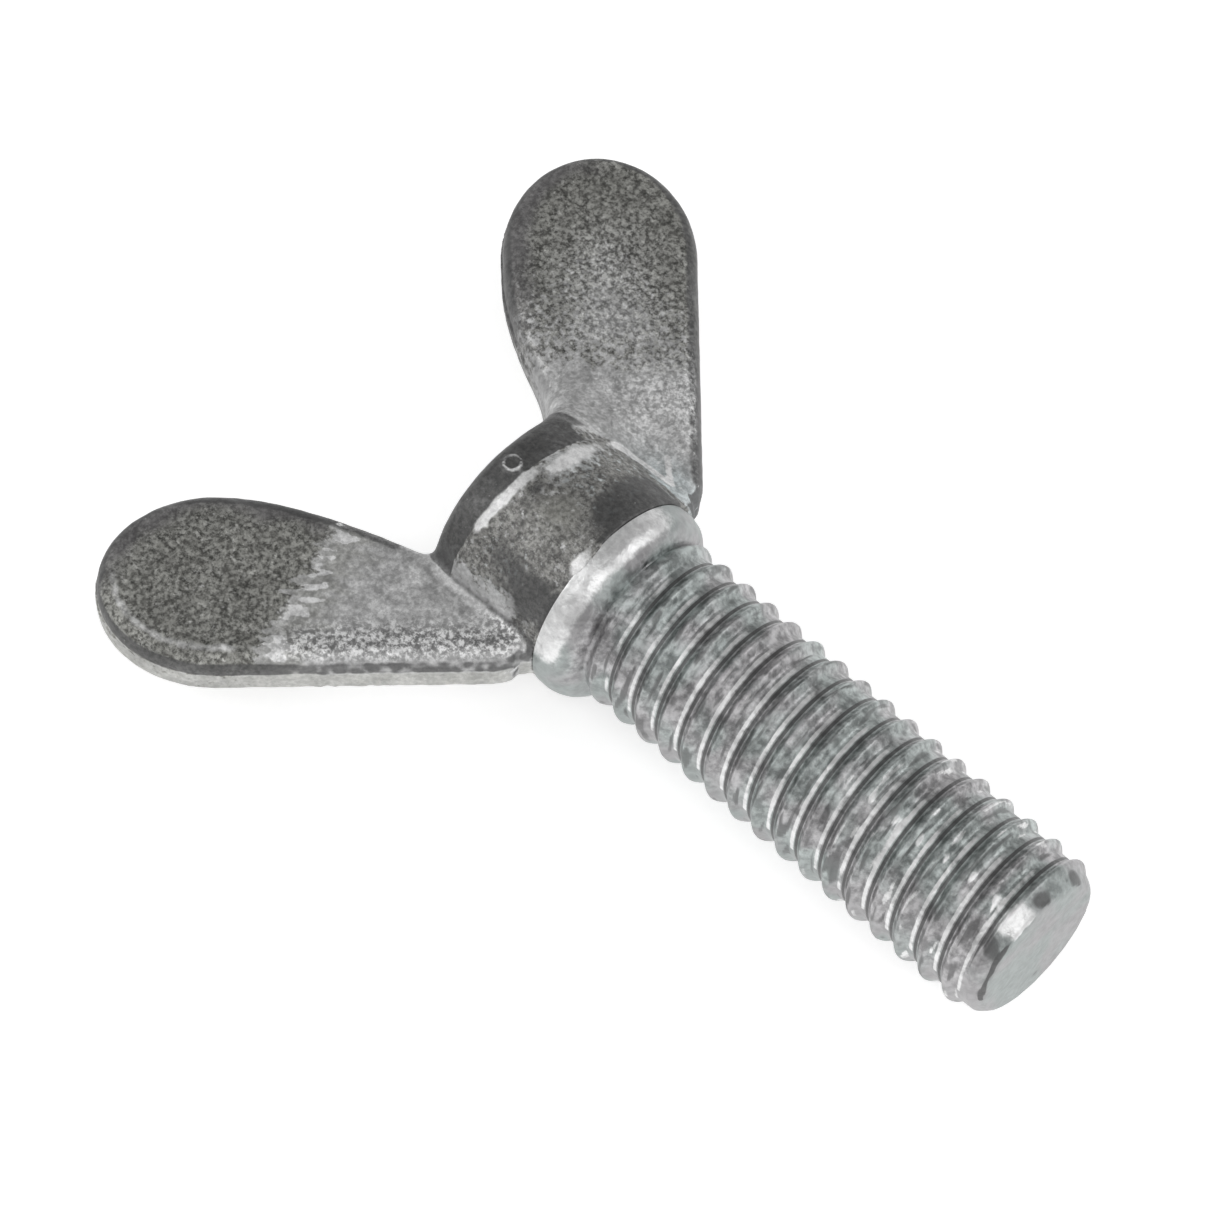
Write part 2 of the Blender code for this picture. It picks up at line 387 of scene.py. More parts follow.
def noise_at(points, size, seed):
    """Smooth noise from about -1 to 1 whose lumps are about size across."""
    shift = Vector((seed * 17.3, seed * 5.7, seed * 11.1))
    return np.array([noise.noise(Vector(point) / size + shift) for point in points])


def wing_place(x, y):
    """Place on a wing along its axis and across it, both from the paddle's centre."""
    beside_x, beside_y = x - PADDLE[0], np.abs(y) - PADDLE[1]
    along = -beside_x * math.cos(WING_ANGLE) + beside_y * math.sin(WING_ANGLE)
    across = beside_x * math.sin(WING_ANGLE) + beside_y * math.cos(WING_ANGLE)
    return along, across


def head_lumps(points):
    """How far each point of the casting stands off its smooth shape."""
    x, y, z = points.T
    along, across = wing_place(x, y)
    rough = noise_at(points, 0.9, 1) * 0.5 + noise_at(points, 0.42, 2) * 0.35
    coarse = bell(across, PADDLE_WIDTH - 0.6, 0.9) * ease(-4, -6, along) * ease(0, -2, y)
    calm = ease(0.2, 0.8, hub_distance(x, y, z))
    lift = rough * (0.022 + 0.012 * calm) + noise_at(points, 0.5, 3) * 0.07 * coarse
    return lift + head_marks(x, y, z)


def head_marks(x, y, z):
    """The ejector pin's ring behind the ridge, the small pits by the mouth, the creases."""
    lift = 0.09 * bell(pin_distance(x, y, z), PIN_RADIUS, PIN_LINE)
    for pit_x, pit_angle, size in PITS:
        lift = lift - 0.12 * bell(hub_walk(x, y, z, pit_x, pit_angle), 0, size)
    left = ease(-0.5, -1.5, y) * ease(0.6, 1.0, z)
    return lift - 0.04 * left * bell(hub_distance(x, y, z), 0.12, 0.11)


def near_line(x, y, start, end, width):
    """1 on the line from start to end in the wings' plane, falling off over width."""
    side_x, side_y = end[0] - start[0], end[1] - start[1]
    share = ((x - start[0]) * side_x + (y - start[1]) * side_y) / (side_x**2 + side_y**2)
    share = np.clip(share, 0, 1)
    return bell(np.hypot(x - start[0] - share * side_x, y - start[1] - share * side_y), 0, width)


def hub_walk(x, y, z, mark_x, mark_angle):
    """Distance over the hub's side from a mark's centre."""
    angle = np.degrees(np.arctan2(z, y))
    return np.hypot(x - mark_x, (angle - mark_angle) * HEAD_RADIUS * np.pi / 180)


def pin_distance(x, y, z):
    return hub_walk(x, y, z, *PIN_PLACE)


def head_places(points, normals):
    """Where each point of the head lies. Everything that colours its skin is worked out from this."""
    x, y, z = points.T
    at = SimpleNamespace(x=x, y=y, z=z)
    at.left, at.right, at.top = ease(0.2, -0.8, y), ease(-0.2, 0.8, y), ease(0.4, 0.9, z)
    at.wander, at.flicker = noise_at(points, 1.3, 4), noise_at(points, 0.45, 5)
    at.radius = np.hypot(y, z)
    at.angle = np.degrees(np.arctan2(z, y)) + 2.5 * at.wander
    at.along, at.across = wing_place(x, y)
    at.streaks = noise_at(np.stack([at.along / 1.9, at.across / 0.4, z], axis=1), 1.0, 6)
    at.edge = outline_distance(x, y)
    at.gap = hub_distance(x, y, z)
    at.on_hub = ease(0.3, 0.0, at.gap)
    at.off_hub = 1 - at.on_hub
    at.side = ease(4.4, 5.0, at.radius)
    at.ridge = ridge_place(y, at.radius) + 0.10 * at.wander + 0.10 * at.flicker
    at.left_pad = at.along + 4.4 - 0.39 * at.across + 1.5 * at.streaks + 0.5 * at.flicker
    at.level = at.off_hub * ease(0.5, 0.8, normals[:, 2])
    at.wall = ease(0.8, 0.4, np.abs(normals[:, 2])) * at.off_hub
    # Painted light: the lower half of the left wing's wall, where it faces -Y, is made lighter, as lit
    # from the pale floor.
    at.pale_wall = at.wall * ease(0.35, 0.05, z) * at.left
    at.pale_wall = at.pale_wall * ease(0.1, -0.6, normals[:, 1] + 0.3 * at.wander)
    return at


def hub_mark(at, mark):
    x, angle, reach, turn = mark
    return bell(at.x, x, reach) * bell(at.angle, angle, turn)


def pad_tone(at):
    """The dark skin: all over the left paddle, fading along the right wing, and on the hub."""
    right_pad = at.along + 7.7 + 0.25 * at.across + 0.8 * at.wander + 0.5 * at.flicker
    beside = right_pad - 1.3 + 0.9 * np.abs(at.across)
    fading = 0.5 * ease(-0.8, 0.8, right_pad)
    fading = fading + 0.15 * ease(2.0, 5.5, beside) + 0.35 * ease(5.0, 9.5, beside)
    wings = np.where(at.y < 0, ease(-0.6, 0.6, at.left_pad), fading) * at.off_hub
    scraped = at.side * ease(146, 156, at.angle) * ease(-3, -4, at.x)
    hub = 0.8 - 0.5 * hub_mark(at, PALE_TOP) - 0.6 * scraped
    # Over the left wing's lit lower wall the dark skin is mostly left off: painted light.
    return wings * (1 - 0.8 * at.pale_wall) + hub * at.on_hub


def wing_dark(at):
    """Painted shade on the wings' edges and rims, in the crease by the left wing and in the back corner
    by the right.
    """
    outer = ease(0.0, 3.0, at.across)
    hollow = at.right * ease(-2.0, -5.0, at.along) * ease(0.0, -1.5, at.across)
    inner = at.left * ease(-0.5, -2.5, at.across) * ease(3.5, 0.5, at.along)
    # The painted shade on the rims is lighter on the left wing's lit outer side and in the right wing's
    # hollow.
    lit = 1 - 0.45 * at.left * outer - 0.35 * hollow
    reach = -0.75 + 0.4 * at.left * outer - 0.1 * at.right * outer - 0.25 * inner
    rim = ease(reach - 0.08, reach + 0.5, at.edge + 0.12 * at.flicker) * ease(1.0, 1.6, at.gap) * lit
    # Along the left wing's outer side near its root, the painted shade on the wall is left out in
    # patches.
    paler_patches = at.left * outer * (0.25 + 0.4 * at.flicker) * ease(-3, -5, at.along)
    wall = at.wall * (1 - 0.45 * hollow) * (1 - paler_patches)
    # Painted shade in the crease where the left wing meets the hub, and in the corner behind the right
    # wing's root.
    crease = at.left * at.top * bell(at.gap, 0.14, 0.13)
    corner = ease(1.4, 0.3, at.gap) * ease(-7.9, -8.5, at.x + 0.2 * at.flicker) * ease(34, 42, at.angle)
    # No painted shade on the left wing's lit lower wall.
    edges = 0.85 * np.maximum(wall, 0.9 * rim) * (1 - at.pale_wall)
    return edges + 0.9 * corner * at.right * at.off_hub + 0.55 * crease


def hub_dark(at):
    """The band behind the ridge and the stains, and painted shade in the wedge under the right wing's
    root and along the closed seam by the mouth.
    """
    cleared = ease(54, 44, at.angle) * ease(0, 20, at.angle) * at.side
    behind = ease(at.ridge - 0.02, at.ridge - 0.25, at.x) * (1 - cleared)
    # Painted shade on the hub under the right wing's root.
    turned_by = ease(26, 36, at.angle) * ease(104, 74, at.angle)
    wedge = turned_by * ease(-5.2, -3.0, at.x + 0.25 * at.flicker)
    # Painted shade along the gap where the mouth meets the collar.
    seam = ease(100, 88, at.angle) * ease(26, 34, at.angle) + 0.6 * bell(at.angle, 144, 9)
    seam = seam * ease(-2.3, -2.1, at.x)
    stains = 0.8 * hub_mark(at, LOW_STAIN) + 0.4 * hub_mark(at, COOL_PATCH)
    stains = stains + 0.5 * hub_mark(at, DARK_STREAK)
    return at.on_hub * (behind + wedge + 1.2 * seam + stains)


def hub_bright(at):
    """The worn ridge and the smooth patch on its top, a painted highlight on the flash and the pin's
    ring.
    """
    worn = bell(at.x, at.ridge + 0.12, 0.34 + 0.1 * at.flicker)
    worn = worn * ease(82, 98, at.angle) * ease(140, 126, at.angle)
    smooth = bell(at.x, at.ridge + 0.55, 0.7) * bell(at.angle, 72, 22)
    pin = bell(pin_distance(at.x, at.y, at.z), PIN_RADIUS, PIN_LINE)
    return at.on_hub * (worn + 0.5 * smooth + 0.85 * hub_mark(at, FLASH_HIGHLIGHT)) + 0.62 * pin


def wing_bright(at):
    """Painted highlights on the lines where the right wing leaves the hub and on the faint ring inside
    the left rim, and painted light on the left wing's lower wall.
    """
    root = at.right * at.top
    crest = bell(at.gap, 0.45 + 0.1 * (at.x + 3.5), 0.13)
    crest = crest * ease(-7.2, -6.4, at.x) * ease(-3.0, -3.6, at.x)
    # A painted highlight along the right wing's root.
    highlight_line = near_line(at.x, at.y, *ROOT_HIGHLIGHT_LINE, 0.15)
    ring = at.left * at.top * bell(at.edge, -0.95, 0.34)
    ring = ring * ease(-1.5, 1.0, at.across) * ease(-4.0, -1.0, at.along)
    return 1.4 * root * (crest + highlight_line) + 0.12 * at.pale_wall + 0.52 * ring


def grain_tones(at, pad):
    """Bright specks, and grain that is dark and bright, both on the wings' level faces."""
    patchy = ease(-0.15, 0.3, at.streaks + 0.4 * at.flicker)
    border = at.left * bell(at.left_pad, -0.3, 0.7) * patchy * ease(-5.0, -3.6, at.across)
    middle = at.right * ease(3.5, -1.0, at.along) * ease(-6.5, -5.0, at.along)
    middle = middle * bell(at.across, 0.4, 2.6)
    lower = at.left * bell(at.edge, -1.2, 0.8) * ease(0.5, 2.0, at.across) * ease(-3.0, -5.0, at.along)
    away = np.hypot(at.along - PADDLE_HEART[0], at.across - PADDLE_HEART[1])
    heart = at.left * bell(away, 0, 2.6) * ease(-0.1, 0.3, at.streaks)
    frosty = at.right * bell(at.along, -9.6, 2.4) * bell(at.across, 2.4, 2.4)
    speckle = 1.2 * border + 0.28 * middle + 0.2 * at.right * (1 - pad) + 0.4 * frosty + 0.3 * heart
    pepper = lower + 0.35 * middle + 0.5 * frosty + 0.15 * (1 - pad)
    return speckle * at.level, pepper * at.level


def head_masks(points, normals):
    """How much of each tone the head's skin has at each point, from 0 to 1."""
    at = head_places(points, normals)
    pad = pad_tone(at)
    calm = ease(-1.9, -0.8, at.edge + 0.6 * at.wander) * ease(2.0, -1.5, at.across) * pad
    speckle, pepper = grain_tones(at, pad)
    left_border = bell(at.left_pad, -1.3, 1.0) * at.left
    right_root = ease(2.5, 0.5, at.gap) * bell(at.x, -3.5, 2.5) * at.right
    return {
        "pad": pad,
        "calm": calm * at.off_hub + 0.45 * at.on_hub,
        # The dark mask holds painted shade on edges, walls, crease, corner, wedge and seam, besides the
        # band and the stains.
        "dark": wing_dark(at) + hub_dark(at),
        # The bright mask holds painted highlights at the right wing's root, the left rim's ring and the
        # flash, besides the worn ridge, the smooth patch and the pin's ring.
        "bright": wing_bright(at) + hub_bright(at),
        "speckle": speckle,
        "pepper": pepper,
        "blue": hub_mark(at, COOL_PATCH) * at.on_hub + right_root,
        # The dull mask also takes in the painted light on the left wing's lower wall.
        "dull": hub_mark(at, OLIVE_PATCH) * at.on_hub + left_border + at.pale_wall,
    }


def head_surface():
    """Points and quads of the head's smooth surface, and the direction out of it at each point."""
    back = PADDLE[0] - PADDLE_LENGTH - GRID_ROOM_BACK
    low = np.array((back, -HEAD_HIGH.y / MM - GRID_ROOM, -HALF_HEIGHT - GRID_ROOM))
    high = np.array((MOUTH_X + GRID_ROOM_FRONT, -low[1], -low[2]))
    axes = [np.arange(a, b, GRID) for a, b in zip(low, high)]
    x, y, z = (axes[0][:, None, None], axes[1][None, :, None], axes[2][None, None, :])
    points, faces = surface_net(head_distance(x, y, z), low, GRID)
    slope = gradient(head_distance, points)
    steepness = np.maximum(np.linalg.norm(slope, axis=1), LEAST_SLOPE)
    normals = slope / steepness[:, None]
    away = np.clip(head_distance(*points.T) / steepness, -GRID / 2, GRID / 2)
    return points - normals * away[:, None], faces, normals


def held_in_cad_box(points):
    """The points, none of them outside the CAD head's box, except that the mouth closes the seam."""
    low = (np.array(HEAD_LOW) - np.array(ORIGIN)) / MM + BOX_MARGIN
    high = (np.array(HEAD_HIGH) - np.array(ORIGIN)) / MM - BOX_MARGIN
    high[0] = COLLAR_CREST_X
    return np.clip(points, low, high)


def make_head(skin):
    points, faces, normals = head_surface()
    masks = head_masks(points, normals)
    outside = socket_distance(*points.T) > SOCKET_SKIN
    points = points + normals * (head_lumps(points) * outside)[:, None]
    mesh = make_mesh("cast_wing_head", held_in_cad_box(points), faces)
    add_masks(mesh, masks)
    add_piece("cast_wing_head", mesh, skin, "wing_head")


# ---------------------------------------------------------------- stud shape
def groove_depth(phase):
    """0 on the crest and 1 at the root, for a phase counted in turns from a crest."""
    away = np.abs((phase + 0.5) % 1.0 - 0.5)
    flank = 0.5 - CREST_SHARE / 2 - ROOT_SHARE / 2
    depth = (away - CREST_SHARE / 2) / flank
    return smooth_min(smooth_max(depth, 0.0, PROFILE_ROUNDING), 1.0, PROFILE_ROUNDING)


def thread_surface(x, angle):
    """Radius of the thread and of the neck that it starts from, before the end is chamfered."""
    phase = (x - CREST_PHASE) / PITCH - angle / (2 * np.pi)
    fade = np.clip(x / RUN_OUT, 0.0, 1.0)
    radius = CREST_RADIUS - THREAD_DEPTH * fade * groove_depth(phase)
    return smooth_min(radius, NECK_RADIUS + np.maximum(x, 0) * NECK_RISE, NECK_BLEND)


def collar_surface(x, angle):
    """Radius of the collar: highest near its back, and falling to the neck on a quarter oval."""
    lean = np.cos(angle)
    top = COLLAR_RADIUS - COLLAR_LEAN * lean
    front = COLLAR_FRONT_X - COLLAR_FRONT_LEAN * lean
    share = np.clip((x - COLLAR_CREST_X) / (front - COLLAR_CREST_X), 0.0, 1.0)
    past_crest = np.clip((COLLAR_CREST_X - x) / (COLLAR_CREST_X - COLLAR_BACK), 0.0, 1.0)
    fall = (top - NECK_RADIUS) * (1 - np.sqrt(np.maximum(1 - share**2, 0)))
    return top - fall - COLLAR_BACK_DROP * past_crest**3


def stud_surface(x, angle):
    """Radius of the whole outer stud, with the chamfer and the rolled rim of the flat end."""
    body = smooth_max(collar_surface(x, angle), thread_surface(x, angle), COLLAR_BLEND)
    past = STUD_LENGTH - x
    chamfer = END_RADIUS + past * (CREST_RADIUS - END_RADIUS) / END_CHAMFER
    roll = END_ROLL - np.sqrt(np.maximum(END_ROLL**2 - np.maximum(END_ROLL - past, 0) ** 2, 0))
    return smooth_min(body, chamfer, END_BLEND) - roll


def ring_points(x, angle, radius):
    return np.stack([x, radius * np.cos(angle), radius * np.sin(angle)], axis=1)


def turned(x, radius, flat=None):
    """A ring of points round the axis, cut off above and below at the height flat if given."""
    angle = 2 * np.pi * np.arange(ROUND_STEPS) / ROUND_STEPS
    reach = np.full(ROUND_STEPS, float(radius))
    if flat:
        high = np.abs(np.sin(angle)) * radius > flat
        reach[high] = flat / np.abs(np.sin(angle[high]))
    return ring_points(np.full(ROUND_STEPS, float(x)), angle, reach)


def anchor_rings():
    """Rings of the anchor inside the head, from its end to the collar's back."""
    end = COLLAR_BACK - ANCHOR_LENGTH
    front = COLLAR_BACK - (ANCHOR_LENGTH - GROOVE_WIDTH) / 2
    back = front - GROOVE_WIDTH
    return [
        turned(end, ANCHOR_RADIUS * 0.5, ANCHOR_FLAT),
        turned(end, ANCHOR_RADIUS, ANCHOR_FLAT),
        turned(back, ANCHOR_RADIUS, ANCHOR_FLAT),
        turned(back, GROOVE_RADIUS),
        turned(front, GROOVE_RADIUS),
        turned(front, ANCHOR_RADIUS, ANCHOR_FLAT),
        turned(COLLAR_BACK, ANCHOR_RADIUS, ANCHOR_FLAT),
        turned(COLLAR_BACK, (ANCHOR_RADIUS + COLLAR_RADIUS) / 2),
    ]


def stud_lumps(points):
    """Dents and scale on the stud: soft on the thread, stronger on the collar, none at the flat end."""
    x = points[:, 0]
    depth = 0.012 + 0.022 * ease(0.3, -0.3, x)
    depth = depth * ease(COLLAR_BACK, COLLAR_BACK + 0.2, x) * ease(STUD_LENGTH, STUD_LENGTH - 0.3, x)
    return depth * (noise_at(points, 0.8, 8) + 0.6 * noise_at(points, 0.4, 9) - 0.3)


def helix_rows():
    """Rows of points that follow the thread, from the collar's back edge to the flat end."""
    angle = 2 * np.pi * np.arange(ROUND_STEPS) / ROUND_STEPS
    count = math.ceil((STUD_LENGTH - COLLAR_BACK) / PITCH * ROWS_PER_PITCH) + ROWS_PER_PITCH
    rows = []
    for row in range(count + 1):
        start = COLLAR_BACK + (row / ROWS_PER_PITCH - 1) * PITCH
        x = np.clip(start + PITCH * angle / (2 * np.pi), COLLAR_BACK, STUD_LENGTH)
        radius = stud_surface(x, angle)
        lumps = stud_lumps(ring_points(x, angle, radius))
        rows.append(ring_points(x, angle, radius + lumps))
    return rows


def end_rings():
    """Rings that fill the flat end from its rim towards its middle."""
    flat = END_RADIUS - END_ROLL
    return [turned(STUD_LENGTH, flat * share) for share in np.linspace(0.97, 0.05, END_RINGS)]


def band_faces(lower, upper):
    """Faces between two rings, given by the numbers of their first points."""
    step = np.arange(ROUND_STEPS)
    after = (step + 1) % ROUND_STEPS
    return np.stack([lower + step, upper + step, upper + after, lower + after], axis=1)


def helix_faces(first, count):
    """Faces between helical rows. After one turn a row goes on as the row one pitch further."""
    faces = []
    step = np.arange(ROUND_STEPS)
    after = (step + 1) % ROUND_STEPS
    turn = np.where(after == 0, ROWS_PER_PITCH, 0)
    for row in range(count - 1):
        near = np.minimum(row + turn, count - 1)
        far = np.minimum(row + 1 + turn, count - 1)
        corners = [
            first + row * ROUND_STEPS + step,
            first + (row + 1) * ROUND_STEPS + step,
            first + far * ROUND_STEPS + after,
            first + near * ROUND_STEPS + after,
        ]
        faces.append(np.stack(corners, axis=1))
    return np.concatenate(faces)


def make_stud(skin):
    anchor, helix, end = anchor_rings(), helix_rows(), end_rings()
    points = np.concatenate(anchor + helix + end)
    starts = ROUND_STEPS * np.arange(len(anchor) + len(helix) + len(end))
    faces = [band_faces(a, b) for a, b in zip(starts[: len(anchor)], starts[1 : len(anchor) + 1])]
    faces.append(helix_faces(starts[len(anchor)], len(helix)))
    tail = starts[len(anchor) + len(helix) - 1 :]
    faces += [band_faces(a, b) for a, b in zip(tail, tail[1:])]
    quads = np.concatenate(faces)
    mesh = bpy.data.meshes.new("rolled_stud")
    ends = [list(range(ROUND_STEPS))[::-1], [int(tail[-1]) + step for step in range(ROUND_STEPS)]]
    mesh.from_pydata(to_row(points).tolist(), [], quads.tolist() + ends)
    weld(mesh)
    mesh.shade_smooth()
    mesh.set_sharp_from_angle(angle=SHARP_ANGLE)
    place = np.array([corner.co for corner in mesh.vertices]) - np.array(ORIGIN)
    add_masks(mesh, stud_masks(place / MM))
    add_piece("rolled_stud", mesh, skin, "threaded_stud")


def stud_places(points):
    """Where each point of the stud lies, which its masks are worked out from."""
    x, y, z = points.T
    turn = np.arctan2(z, y)
    phase = (x - CREST_PHASE) / PITCH - turn / (2 * np.pi)
    at = SimpleNamespace(x=x, y=y, z=z, turn=turn, angle=np.degrees(turn))
    at.side = (phase + 0.5) % 1.0 - 0.5  # of the thread, in pitches from the nearest crest
    at.threaded = ease(0.0, 1.2, x) * ease(STUD_LENGTH - 0.9, STUD_LENGTH - 1.3, x)
    at.crest_band = at.threaded * ease(-0.25, -0.1, at.side) * ease(0.42, 0.34, at.side)
    at.wander = noise_at(points, 1.1, 7)
    at.scuffs = noise_at(np.stack([x / 0.3, y / 1.5, z / 1.5], axis=1), 1.0, 12)
    at.on_collar = ease(0.2, -0.4, x)
    at.end_face = ease(STUD_LENGTH - 0.06, STUD_LENGTH - 0.01, x)
    at.chamfer = ease(STUD_LENGTH - 1.3, STUD_LENGTH - 0.9, x) * (1 - at.end_face)
    return at


def stud_dark(at):
    """Painted shade on the flanks that face the collar, and blots on the crests and the chamfer, and
    the end's rim.
    """
    # Painted shade on the flanks that face the collar.
    flank = ease(-0.5 + ROOT_SHARE * 0.2, -0.5 + ROOT_SHARE * 0.6, at.side)
    flank = flank * ease(-0.25, -0.35, at.side) * at.threaded
    rim_line = bell(at.x, STUD_LENGTH - 0.13, 0.08) * (1 - at.end_face) * ease(115, 130, at.angle)
    smudge = at.end_face * bell(np.hypot(at.y, at.z + 2.7), 0, 0.4)
    blots = 0.6 * at.chamfer * ease(0.0, 0.5, at.wander)
    blots = blots + 0.55 * at.crest_band * ease(0.0, 0.4, at.scuffs)
    return flank + blots + 1.1 * rim_line + 0.5 * smudge


def stud_bright(at):
    """Painted highlights on the roots' lines and on the collar, painted glints on the chamfer and the
    last crests, and worn patches on the crests.
    """
    root = ease(0.5 - ROOT_SHARE * 0.9, 0.5 - ROOT_SHARE * 0.5, at.side)
    root = root + ease(-0.5 + ROOT_SHARE * 0.4, -0.5, at.side)
    # Painted highlights along the roots' lines on the upper side.
    lines = root * at.threaded * ease(50, 90, at.angle)
    lines = lines * (0.5 + 0.25 * ease(1, 8, at.x) + 0.35 * at.wander)
    # Painted highlight on the collar.
    collar_highlight = ease(42, 72, at.angle) * ease(176, 158, at.angle) * ease(-0.1, -1.0, at.x)
    # Painted glints on the chamfer and, below, on the last crests.
    glint = 1.1 * at.chamfer * bell(at.angle, 108, 12)
    spots = bell(at.angle, 107 + 6 * at.wander, 5) * bell(at.side, 0.2, 0.08)
    spots = spots * ease(14, 17, at.x) * at.threaded
    # Worn bright patches on the crests, more of them towards the end.
    paler_patches = at.crest_band * (0.15 + 0.45 * ease(12, 18, at.x)) * ease(0.2, 0.5, -at.scuffs)
    return lines + at.on_collar * (0.75 * collar_highlight + 0.2) + glint + 0.9 * spots + paler_patches


def stud_masks(points):
    """Where the plating is dark (partly painted shade), bright (partly painted highlights) or clean,
    each from 0 to 1.
    """
    at = stud_places(points)
    under = ease(0.5, -0.3, np.sin(at.turn))
    clean = np.maximum(under, np.maximum(at.on_collar, at.end_face)) + 0.6 * at.chamfer
    return {"dark": stud_dark(at), "bright": stud_bright(at), "clean": clean}


def weld(mesh):
    """Joins doubled points, drops the faces that collapse and turns the rest to face out."""
    shape = bmesh.new()
    shape.from_mesh(mesh)
    bmesh.ops.remove_doubles(shape, verts=shape.verts, dist=WELD_REACH)
    bmesh.ops.dissolve_degenerate(shape, edges=shape.edges, dist=SPECK_EDGE)
    bmesh.ops.recalc_face_normals(shape, faces=shape.faces)
    shape.to_mesh(mesh)
    shape.free()


# ---------------------------------------------------------------- materials
class Skin:
    """A material under construction: short names for the nodes that its pattern is made of."""

    def __init__(self, name):
        self.made = bpy.data.materials.new(name)
        self.made.use_nodes = True
        self.nodes, self.links = self.made.node_tree.nodes, self.made.node_tree.links
        self.shader = self.nodes["Principled BSDF"]
        self.place = self.nodes.new("ShaderNodeTexCoord").outputs["Object"]

    def feed(self, socket, value):
        """Links another node's output to a socket, or sets the socket to a plain value."""
        if isinstance(value, bpy.types.NodeSocket):
            self.links.new(value, socket)
        else:
            socket.default_value = value

    def grain(self, size, detail=2.0, roughness=0.6):
        """Noise from 0 to 1 with lumps of the given size in millimetres."""
        turn = self.nodes.new("ShaderNodeMapping")
        self.links.new(self.place, turn.inputs["Vector"])
        turn.inputs["Scale"].default_value = [1 / (size * MM)] * 3
        made = self.nodes.new("ShaderNodeTexNoise")
        self.links.new(turn.outputs[0], made.inputs["Vector"])
        made.inputs["Scale"].default_value = 1.0
        made.inputs["Detail"].default_value = detail
        made.inputs["Roughness"].default_value = roughness
        return made.outputs["Fac"]

    def mask(self, name):
        made = self.nodes.new("ShaderNodeAttribute")
        made.attribute_name = name
        return made.outputs["Fac"]

    def math(self, kind, first, second):
        made = self.nodes.new("ShaderNodeMath")
        made.operation = kind
        self.feed(made.inputs[0], first)
        self.feed(made.inputs[1], second)
        return made.outputs[0]

    def span(self, value, low, high, start=0.0, end=1.0):
        """A smooth change from start to end while the value goes from low to high."""
        made = self.nodes.new("ShaderNodeMapRange")
        made.interpolation_type = "SMOOTHSTEP"
        self.feed(made.inputs["Value"], value)
        ends = {"From Min": low, "From Max": high, "To Min": start, "To Max": end}
        for socket, number in ends.items():
            made.inputs[socket].default_value = number
        return made.outputs["Result"]

    def mix(self, share, first, second, kind="MIX"):
        made = self.nodes.new("ShaderNodeMix")
        made.data_type = "RGBA"
        made.blend_type = kind
        self.feed(made.inputs[0], share)
        self.feed(made.inputs[6], first)
        self.feed(made.inputs[7], second)
        return made.outputs[2]

    def times(self, first, second):
        """One tone darkened or tinted by another."""
        return self.mix(1.0, first, second, "MULTIPLY")

    def part(self, value, strength):
        """A value times a number or another value."""
        return self.math("MULTIPLY", value, strength)

    def ragged(self, name, grain, spread):
        """A mask whose border is broken up by a grain; spread says how far the grain moves it."""
        moved = self.math("MULTIPLY_ADD", grain, spread)
        moved.node.inputs[2].default_value = -spread / 2
        return self.span(self.math("ADD", self.mask(name), moved), 0.3, 0.7)

    def finish(self, tone, metallic, roughness, height, depth, strength):
        """Feeds the shader: its tone, how metallic and how rough it is, and a bumpy surface."""
        self.links.new(tone, self.shader.inputs["Base Color"])
        self.shader.inputs["Metallic"].default_value = metallic
        self.links.new(roughness, self.shader.inputs["Roughness"])
        made = self.nodes.new("ShaderNodeBump")
        made.inputs["Distance"].default_value = depth * MM
        made.inputs["Strength"].default_value = strength
        self.links.new(height, made.inputs["Height"])
        self.links.new(made.outputs[0], self.shader.inputs["Normal"])
        return self.made


def grey(value, warm=0.0, green=0.0):
    return (value * (1 + warm), value * (1 + green), value * (1 - warm), 1)


COOL_TINT = (0.90, 0.975, 0.99, 1)
PLATING_TINTS = ((1.0, 0.985, 1.0, 1), (0.93, 1.0, 0.985, 1))


def bare_tone(skin, middle):
    """Bare casting, mottled pale grey, bluish where the blue mask says so."""
    bare = skin.mix(skin.span(middle, 0.32, 0.68), grey(0.46), grey(0.72))
    return skin.mix(skin.mask("blue"), bare, skin.times(bare, COOL_TINT))


def olive_tone(skin, grit, middle):
    """The dark skin: gritty olive with pale specks, and nearly even where the calm mask says so."""
    speck = skin.grain(0.5, 3, 0.7)
    olive = skin.mix(skin.span(grit, 0.36, 0.64), grey(0.10, 0.04, 0.04), grey(0.43, 0.03, 0.03))
    olive = skin.mix(skin.span(middle, 0.4, 0.65, 0.0, 0.45), olive, grey(0.22, 0.04, 0.03))
    olive = skin.mix(skin.span(speck, 0.6, 0.68, 0.0, 0.45), olive, grey(0.8, 0.02, 0.02))
    return skin.mix(skin.part(skin.mask("calm"), 0.75), olive, grey(0.19, 0.0, -0.03))


